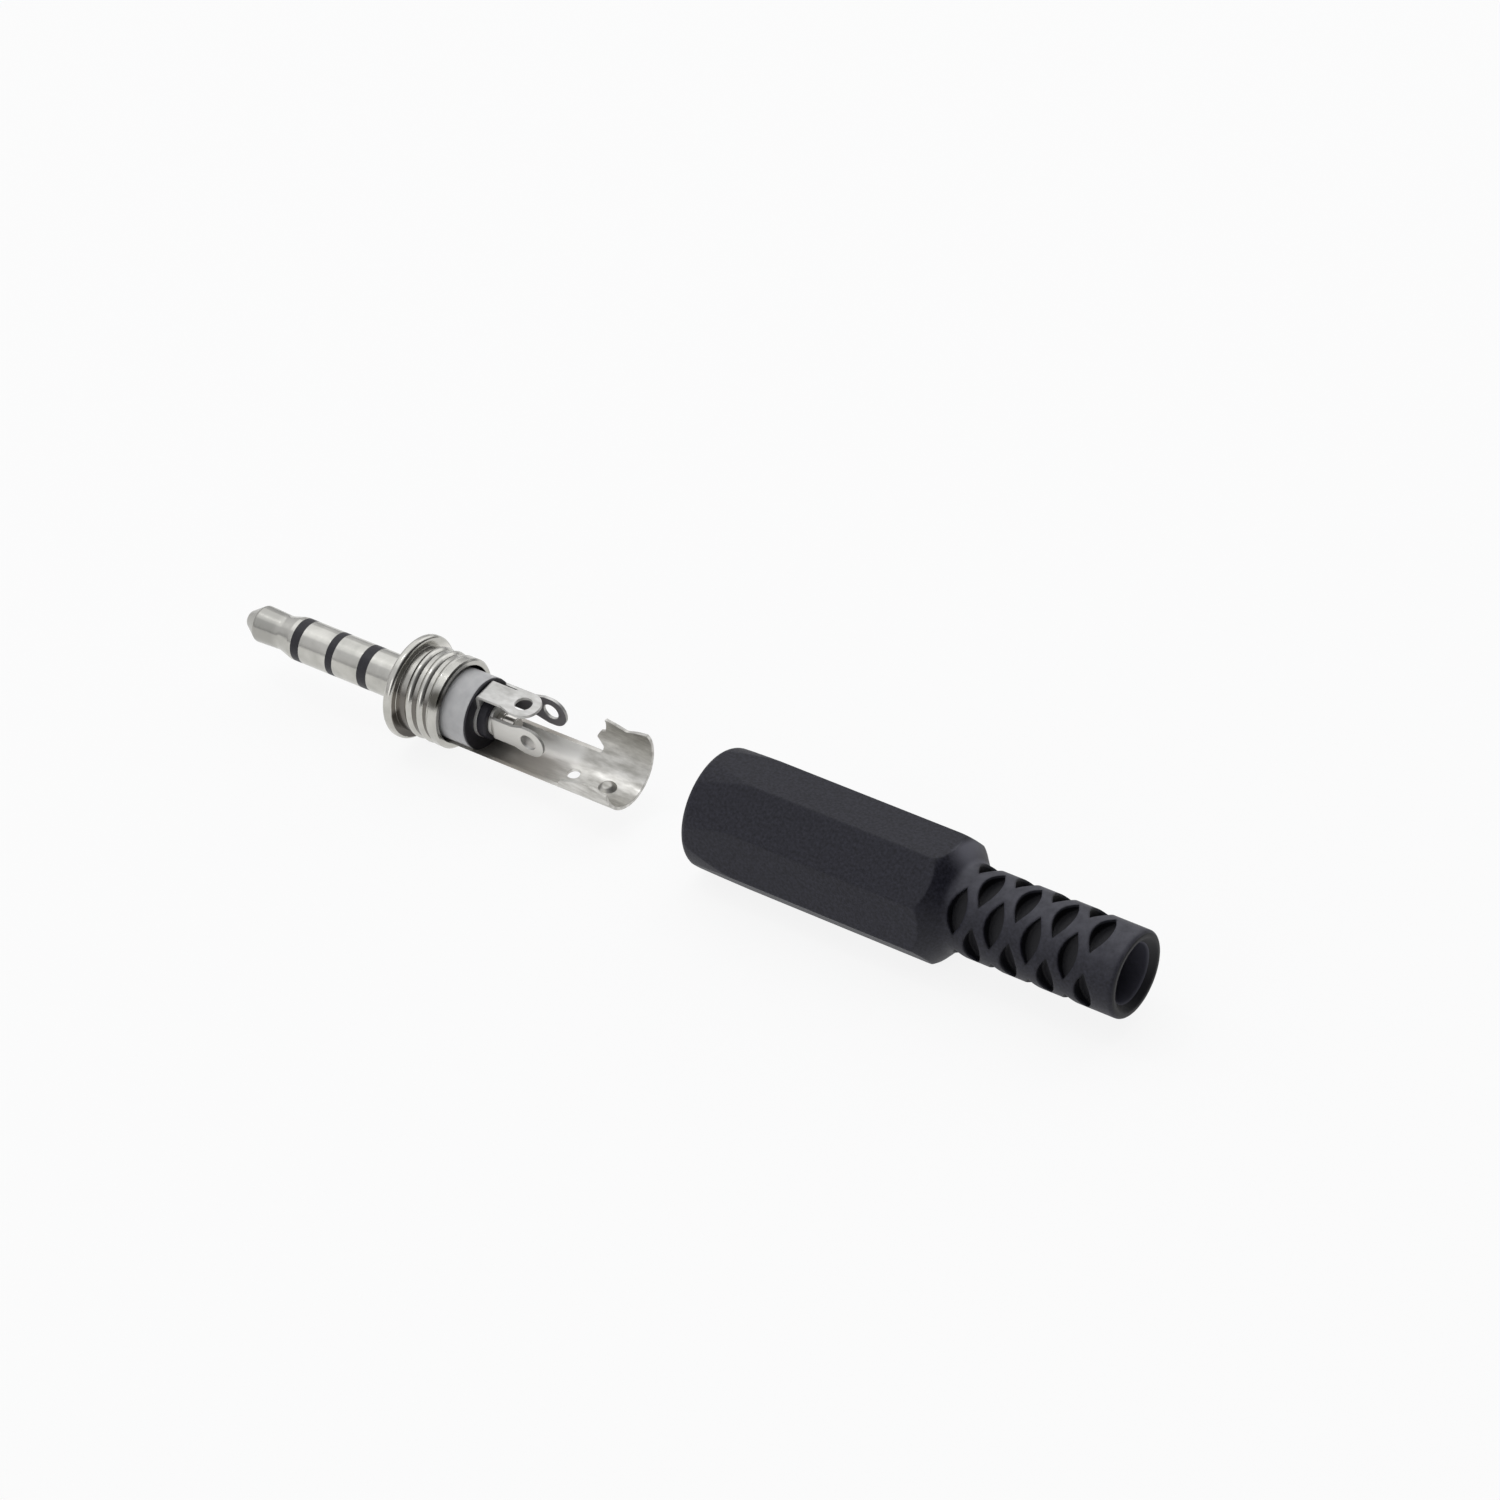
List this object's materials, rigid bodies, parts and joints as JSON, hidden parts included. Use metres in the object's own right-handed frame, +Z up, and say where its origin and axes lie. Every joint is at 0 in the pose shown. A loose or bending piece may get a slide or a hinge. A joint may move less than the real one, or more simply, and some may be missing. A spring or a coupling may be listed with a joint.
{
  "type": "audio jack plug",
  "caption": "Four pole audio jack plug with solder terminals and a cable clamp, its screw-on plastic handle with a slotted strain relief lying unscrewed behind it.",
  "frame": {"origin": "on the plug's axis at the front face of the flange, where the shaft stops in a socket", "axes": "+X along the plug's axis towards the cable outlet, so the tip points to -X; +Z up, with the handle lying on one flat of its octagon"},
  "size_m": [0.0814, 0.0094, 0.0094],
  "materials": {
    "nickel_plate": "bright nickel plate over brass",
    "black_plastic": "matte black insulating plastic",
    "white_plastic": "slightly milky white plastic",
    "handle_plastic": "fine matte charcoal black"
  },
  "bodies": {
    "plug": {"tip_contact": "nickel_plate", "tip_insulator": "black_plastic", "ring_1_contact": "nickel_plate", "ring_1_insulator": "black_plastic", "ring_2_contact": "nickel_plate", "ring_2_insulator": "black_plastic", "sleeve_collar": "nickel_plate", "insulating_bush": "white_plastic", "front_washer": "black_plastic", "rear_washer": "black_plastic", "ring_2_terminal": "nickel_plate", "ring_1_terminal": "nickel_plate", "tip_terminal": "nickel_plate", "ground_tongue": "nickel_plate"},
    "handle": {"handle": "handle_plastic"}
  },
  "joints": [
    {"name": "handle_slide", "type": "slide", "parent": "plug", "child": "handle", "axis": [1, 0, 0], "range_m": [-0.02737, 0]}
  ]
}
